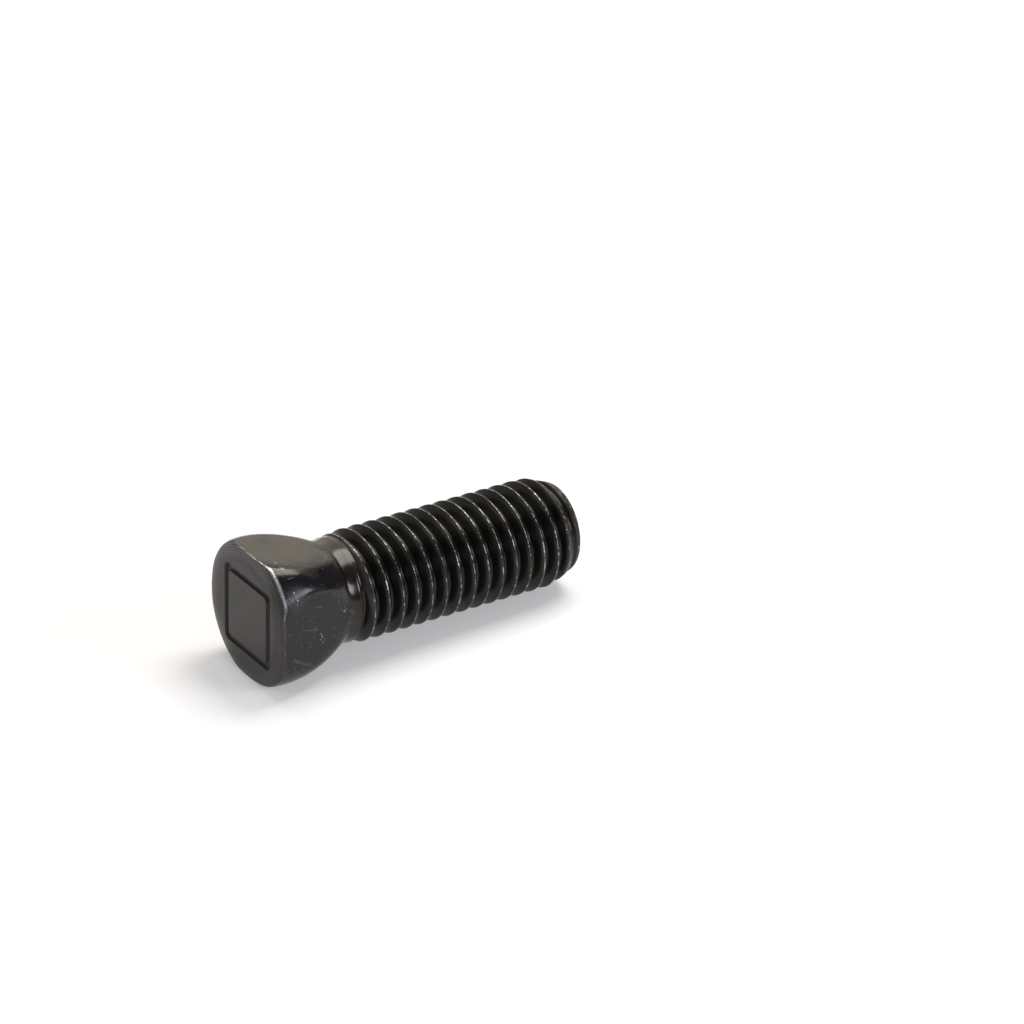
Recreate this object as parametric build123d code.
from build123d import *
import os
from math import atan, atan2, ceil, cos, degrees, radians, tan

# Plow bolt, M12 x 1.75, lying on its side as it comes to rest.
# It is one piece of steel: a forged head, a short plain neck and a rolled thread.
# The head is a barrel-shaped cone with four tapered flats, so that the square hole
# of a plough share both centres the bolt and stops it turning.
#
# The bolt is drawn standing on its face, along +Z, with the middle of the face at the
# origin. It is then laid on one of its flats, with the thread's end down on the floor:
# +X runs from the face to the thread's end, z = 0 is the floor, and the origin is the
# middle of the floor under the bolt.

# Driving sizes along the bolt, in mm
BOLT_LENGTH = 38.5            # from the face to the thread's end
HEAD_LENGTH = 9.0             # from the face to the neck
NECK_LENGTH = 2.2             # plain neck between the head and the thread's lip
LIP_LENGTH = 0.8              # where the neck swells up to the thread's crest
POINT_LENGTH = 2.9            # tapered end of the thread
POINT_BEVEL = 0.35            # narrow bevel round its flat end
RIM_DEPTH = 0.9               # how far the crowned face falls back at its rim

# Driving sizes across the bolt, in mm
THREAD_DIAMETER = 11.85       # over the crests
NECK_DIAMETER = 11.2
POINT_DIAMETER = 9.6          # flat end of the thread
FACE_DIAMETER = 12.0          # flat middle of the face
RIM_DIAMETER = 15.7           # over the head's rounded corners, at the rim
RIM_ACROSS_FLATS = 14.1       # over the head's flats, at the rim
COLLAR_DIAMETER = 11.4        # over the corners, where the head meets the neck
COLLAR_ACROSS_FLATS = 11.06   # over the flats, where the head meets the neck
BARREL_RADIUS = 12.0          # bulge of the rounded corners, seen from the side
FLAT_FILLET = 0.6             # along the sides of the flats

# Driving sizes of the thread, in mm, turns and degrees
THREAD_PITCH = 1.75
FLANK_ANGLE = 60.0            # between the two flanks of a groove
CREST_SHARE = 0.125           # crest flat over pitch, as the metric thread has it
DEPTH_SHARE = 0.6134          # thread depth over pitch, as the metric thread has it
RUNOUT_TURNS = 0.3            # the first groove deepens over this much of a turn
GROOVE_ANGLE = -76.9          # where round the bolt it reaches its full depth, at the neck's end

# Stamped mark on the face, a plain square groove, in mm and degrees
MARK_SIDE = 8.2               # between the middles of opposite lines
MARK_WIDTH = 0.5
MARK_DEPTH = 0.2
MARK_CORNER = 0.3             # inner corner of the groove
MARK_ANGLE = -0.8             # how far the mark is turned against the flats
MARK_ASIDE = 0.45             # how far it is stamped off the middle, towards -Y
MARK_RAISE = 0.1              # and how far it is stamped too high

# A cutter stands this far out of the surface that it cuts, in mm
OVERCUT = 0.12

# Sizes that follow
thread_radius = THREAD_DIAMETER / 2
root_radius = thread_radius - DEPTH_SHARE * THREAD_PITCH
neck_end = HEAD_LENGTH + NECK_LENGTH
lip_end = neck_end + LIP_LENGTH
point_start = BOLT_LENGTH - POINT_LENGTH


def turned(outline):
    """Turn a closed half outline in the XZ plane about the bolt's axis."""
    return revolve(Plane.XZ * make_face(outline), axis=Axis.Z)


def make_head():
    """Barrel-shaped cone with a crowned face, trimmed by four tapered flats."""
    face_edge = (FACE_DIAMETER / 2, 0)
    rim = (RIM_DIAMETER / 2, RIM_DEPTH)
    collar = (COLLAR_DIAMETER / 2, HEAD_LENGTH)
    barrel = turned(
        [
            Line((0, 0), face_edge),
            TangentArc(face_edge, rim, tangent=(1, 0)),
            RadiusArc(rim, collar, -BARREL_RADIUS),
            Polyline(collar, (0, HEAD_LENGTH), (0, 0)),
        ]
    )
    slope = (RIM_ACROSS_FLATS - COLLAR_ACROSS_FLATS) / 2 / (HEAD_LENGTH - RIM_DEPTH)
    across_at_face = RIM_ACROSS_FLATS + 2 * slope * RIM_DEPTH
    square = Rectangle(across_at_face, across_at_face)
    head = barrel & extrude(square, HEAD_LENGTH, taper=degrees(atan(slope)))
    flats = head.faces().filter_by(GeomType.PLANE).filter_by(Axis.Z, reverse=True)
    arched_edges = flats.edges().filter_by(GeomType.LINE, reverse=True)
    return fillet(arched_edges.filter_by_position(Axis.Z, RIM_DEPTH, HEAD_LENGTH), FLAT_FILLET)


def make_shank():
    """Plain neck and the blank of the thread, with its lip and its tapered point."""
    inside_head = HEAD_LENGTH / 2
    blank = turned(
        Polyline(
            (0, inside_head),
            (NECK_DIAMETER / 2, inside_head),
            (NECK_DIAMETER / 2, neck_end),
            (thread_radius, lip_end),
            (thread_radius, point_start),
            (POINT_DIAMETER / 2, BOLT_LENGTH),
            (0, BOLT_LENGTH),
            (0, inside_head),
        ).edges()
    )
    end_edge = blank.edges().filter_by(GeomType.CIRCLE).sort_by(Axis.Z)[-1]
    return chamfer(end_edge, POINT_BEVEL)


def groove_width(radius):
    """Width of the thread's groove along the bolt, at this radius."""
    crest_gap = THREAD_PITCH * (1 - CREST_SHARE)
    return crest_gap - 2 * (thread_radius - radius) * tan(radians(FLANK_ANGLE / 2))


def groove_lines(lift, climb):
    """Right-hand helices along the groove's four corners, as it sinks by lift over this climb."""
    cutter_radius = thread_radius + OVERCUT
    root_half = groove_width(root_radius) / 2
    outer_half = groove_width(cutter_radius) / 2
    corners = [
        (root_radius, -root_half),
        (root_radius, root_half),
        (cutter_radius, outer_half),
        (cutter_radius, -outer_half),
    ]
    cone = atan(lift / climb)
    slant_pitch = THREAD_PITCH / cos(cone)
    return [
        Pos(0, 0, height) * Helix(slant_pitch, climb, radius + lift, cone_angle=-degrees(cone))
        for radius, height in corners
    ]


def groove_walls(lines):
    """The four ruled faces between neighbouring lines of the groove."""
    return [
        Face.make_surface_from_curves(line.edge(), following.edge())
        for line, following in zip(lines, lines[1:] + lines[:1])
    ]


def make_groove():
    """Closed cutter of the whole groove: its run-out, then full turns to past the point."""
    back = RUNOUT_TURNS * THREAD_PITCH
    lift = thread_radius + OVERCUT - root_radius
    runout_place = Pos(0, 0, -back) * Rot(0, 0, -360 * RUNOUT_TURNS)
    runout = [runout_place * line for line in groove_lines(lift, back)]
    one_turn = groove_lines(0, THREAD_PITCH)
    turns = ceil((BOLT_LENGTH - neck_end) / THREAD_PITCH) + 1
    last_turn = [Pos(0, 0, (turns - 1) * THREAD_PITCH) * line for line in one_turn]
    walls = groove_walls(runout)
    for wall in groove_walls(one_turn):
        walls += [Pos(0, 0, turn * THREAD_PITCH) * wall for turn in range(turns)]
    start = Face(Wire.make_polygon([line @ 0 for line in runout]))
    end = Face(Wire.make_polygon([line @ 1 for line in last_turn]))
    cutter = Solid(Shell(walls + [start, end]))
    return Pos(0, 0, neck_end) * Rot(0, 0, GROOVE_ANGLE) * cutter


def make_mark():
    """Cutter for the plain square groove in the face."""
    outer = MARK_SIDE + MARK_WIDTH
    inner = MARK_SIDE - MARK_WIDTH
    ring = RectangleRounded(outer, outer, MARK_CORNER + MARK_WIDTH)
    ring -= RectangleRounded(inner, inner, MARK_CORNER)
    place = Pos(-MARK_RAISE, -MARK_ASIDE, -OVERCUT) * Rot(0, 0, MARK_ANGLE)
    return place * extrude(ring, MARK_DEPTH + OVERCUT)


def lay_down(bolt):
    """Lay the bolt along +X on one flat of its head and the crest at its thread's end."""
    touching = bolt.vertices().sort_by(Axis.X)[-1]
    tilt = degrees(atan2(touching.X - thread_radius, point_start - touching.Z))
    lying = Rot(0, 90 + tilt, 0) * bolt
    box = lying.bounding_box()
    laid = Pos(-box.center().X, -box.center().Y, -box.min.Z) * lying
    print(f"the bolt rests tilted by {tilt:.2f} degrees")
    return laid


shank = make_shank() - make_groove()
bolt = make_head() + shank - make_mark()
bolt = lay_down(bolt)
bolt.label = "plow_bolt"
print(f"volume {bolt.volume:.1f} mm3, box {bolt.bounding_box().size}")

os.makedirs("parts", exist_ok=True)
export_step(bolt, "parts/plow_bolt.step")
